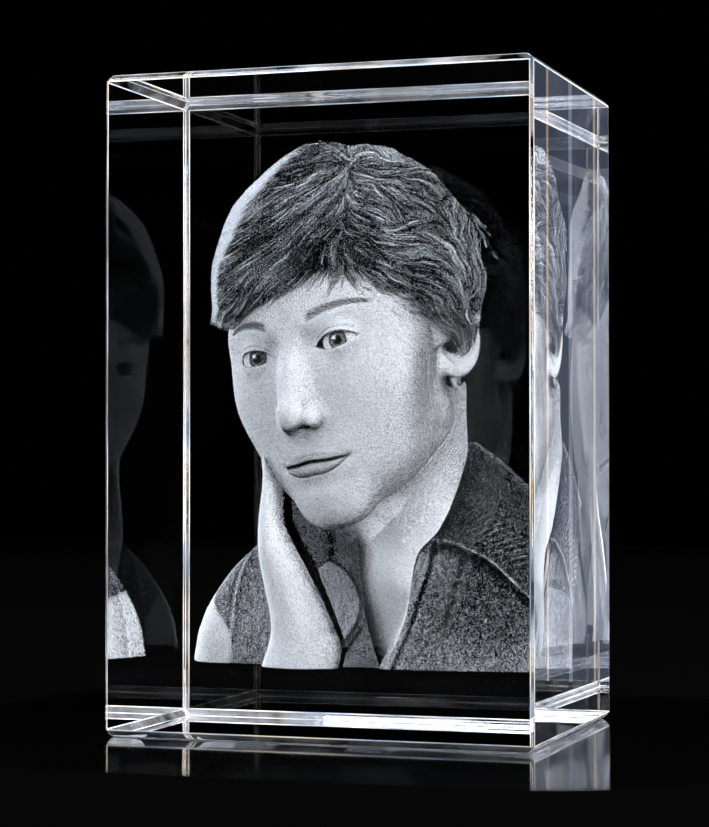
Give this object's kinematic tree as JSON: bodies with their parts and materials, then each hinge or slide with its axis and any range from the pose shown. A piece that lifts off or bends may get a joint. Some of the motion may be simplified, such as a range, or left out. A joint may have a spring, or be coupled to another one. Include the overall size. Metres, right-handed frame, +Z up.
{
  "type": "crystal photo cube",
  "caption": "Tall bevelled block of clear optical glass with a head-and-shoulders portrait engraved inside it as a thin relief of fine dots; stands on its flat base.",
  "frame": {"origin": "middle of the base, on the plane that the block stands on", "axes": "+X to the viewer's right, +Y from the front face to the back face, +Z up"},
  "size_m": [0.08, 0.06, 0.12],
  "materials": {
    "crystal": "polished",
    "engraved_skin": "frosted dots",
    "engraved_hair": "frosted dots",
    "engraved_cloth": "frosted dots"
  },
  "bodies": {
    "root": {"crystal_block": "crystal", "hair_crown": "engraved_hair", "hair_fringe": "engraved_hair", "hair_nape": "engraved_hair", "face": "engraved_skin", "ear": "engraved_skin", "neck": "engraved_skin", "hand": "engraved_skin", "bare_arm": "engraved_skin", "shirt_left": "engraved_cloth", "lapel_left": "engraved_cloth", "collar_right": "engraved_cloth", "shirt_right": "engraved_cloth"}
  },
  "joints": []
}
